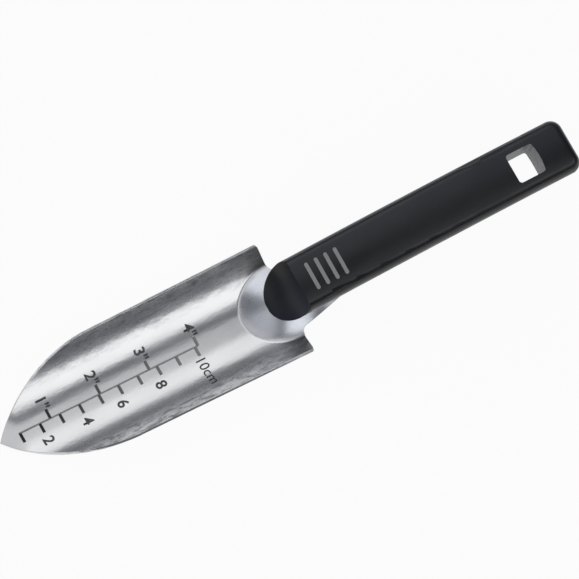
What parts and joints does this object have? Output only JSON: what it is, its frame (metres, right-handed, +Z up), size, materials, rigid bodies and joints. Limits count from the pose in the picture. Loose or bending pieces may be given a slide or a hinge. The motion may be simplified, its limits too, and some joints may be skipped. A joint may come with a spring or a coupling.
{
  "type": "hand trowel",
  "caption": "Narrow transplanting trowel: pressed stainless scoop blade with stamped depth scale, raised neck, and a flat-topped black grip with a square hanging hole.",
  "frame": {"origin": "bottom centre of the whole trowel's bounding box, lying with the scoop open upwards", "axes": "+X from the blade's tip to the hanging end, +Z up out of the scoop, +Y across"},
  "size_m": [0.2896, 0.0566, 0.0521],
  "materials": {
    "stainless_blade": "polished pressed sheet",
    "grey_core": "satin moulded polypropylene",
    "black_grip": "soft matte over-moulding",
    "black_cap": "smooth moulded"
  },
  "bodies": {
    "root": {"blade": "stainless_blade", "handle_core": "grey_core", "grip_skin": "black_grip", "nose_cap": "black_cap"}
  },
  "joints": []
}
